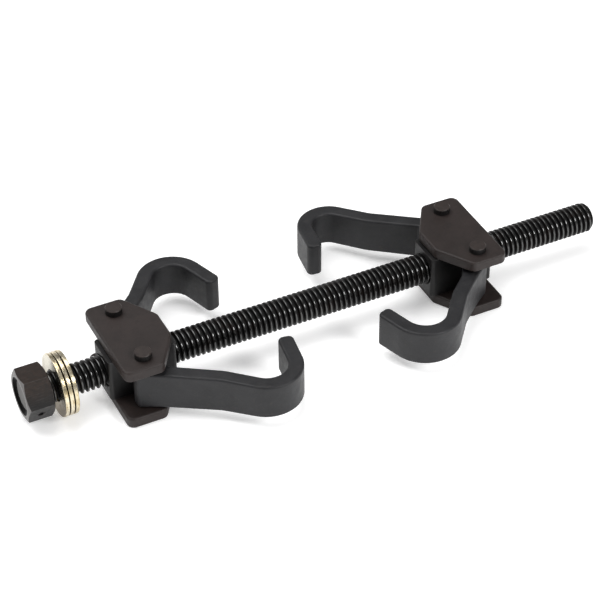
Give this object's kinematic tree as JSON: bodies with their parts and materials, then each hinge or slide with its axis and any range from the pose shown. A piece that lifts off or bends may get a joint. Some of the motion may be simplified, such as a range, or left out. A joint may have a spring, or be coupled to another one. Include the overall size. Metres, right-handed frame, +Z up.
{
  "type": "coil spring compressor",
  "caption": "Internal coil spring compressor: hex-driven threaded screw, thrust washers, and plate yokes whose swinging J hooks pull spring coils together.",
  "frame": {"origin": "centre of the drive nut's outer face, on the forcing screw's axis", "axes": "+X along the forcing screw from the drive nut to its free end, +Z up from the bench that the yokes' bottom plates lie on, +Y to the rear"},
  "size_m": [0.3232, 0.1213, 0.039],
  "materials": {
    "black_oxide_screw": "black oxide thread, bright worn crests",
    "black_oxide_nut": "black oxide, satin",
    "spring_steel": "black spring steel",
    "yellow_zinc": "yellow zinc plating, bright",
    "plate_paint": "warm black paint, satin, slightly blotchy",
    "block_paint": "black paint, satin",
    "pin_steel": "black oxide, satin",
    "hook_paint": "charcoal paint over forging, satin"
  },
  "bodies": {
    "left_yoke": {"left_block": "block_paint", "left_top_plate": "plate_paint", "left_bottom_plate": "plate_paint", "left_front_pin": "pin_steel", "left_rear_pin": "pin_steel"},
    "inner_washer": {"inner_thrust_washer": "yellow_zinc"},
    "middle_washer": {"middle_thrust_washer": "yellow_zinc"},
    "outer_washer": {"outer_thrust_washer": "yellow_zinc"},
    "screw": {"forcing_screw": "black_oxide_screw", "drive_nut": "black_oxide_nut", "drive_nut_roll_pin": "spring_steel"},
    "right_yoke": {"right_block": "block_paint", "right_top_plate": "plate_paint", "right_bottom_plate": "plate_paint", "right_front_pin": "pin_steel", "right_rear_pin": "pin_steel"},
    "left_long_hook": {"left_long_hook": "hook_paint"},
    "left_short_hook": {"left_short_hook": "hook_paint"},
    "right_short_hook": {"right_short_hook": "hook_paint"},
    "right_long_hook": {"right_long_hook": "hook_paint"}
  },
  "joints": [
    {"name": "screw_slide", "type": "slide", "parent": "left_yoke", "child": "inner_washer", "axis": [1, 0, 0], "range_m": [-0.009, 0.018]},
    {"name": "screw_spin", "type": "hinge", "parent": "inner_washer", "child": "screw", "pos_m": [0, 0, 0], "axis": [1, 0, 0], "range_deg": [-8036.2, 3699.2]},
    {"name": "right_yoke_travel", "type": "slide", "parent": "inner_washer", "child": "right_yoke", "axis": [1, 0, 0], "range_m": [-0.0291, 0.0631]},
    {"name": "middle_washer_slide", "type": "slide", "parent": "inner_washer", "child": "middle_washer", "axis": [1, 0, 0], "range_m": [-0.00055, 0.00055]},
    {"name": "outer_washer_slide", "type": "slide", "parent": "inner_washer", "child": "outer_washer", "axis": [1, 0, 0], "range_m": [-0.0036, 0.00055]},
    {"name": "left_long_hook_swing", "type": "hinge", "parent": "left_yoke", "child": "left_long_hook", "pos_m": [0.0579, -0.0187, 0], "axis": [0, 0, -1], "range_deg": [-10, 62]},
    {"name": "left_short_hook_swing", "type": "hinge", "parent": "left_yoke", "child": "left_short_hook", "pos_m": [0.0579, 0.0187, 0], "axis": [0, 0, 1], "range_deg": [-17, 51]},
    {"name": "right_short_hook_swing", "type": "hinge", "parent": "right_yoke", "child": "right_short_hook", "pos_m": [0.2435, -0.0187, 0], "axis": [0, 0, 1], "range_deg": [-16, 53]},
    {"name": "right_long_hook_swing", "type": "hinge", "parent": "right_yoke", "child": "right_long_hook", "pos_m": [0.2435, 0.0187, 0], "axis": [0, 0, -1], "range_deg": [-14, 58]}
  ],
  "couplings": [
    {"joint": "right_yoke_travel", "follows": "screw_spin", "m_per_rad": -0.00044917}
  ]
}
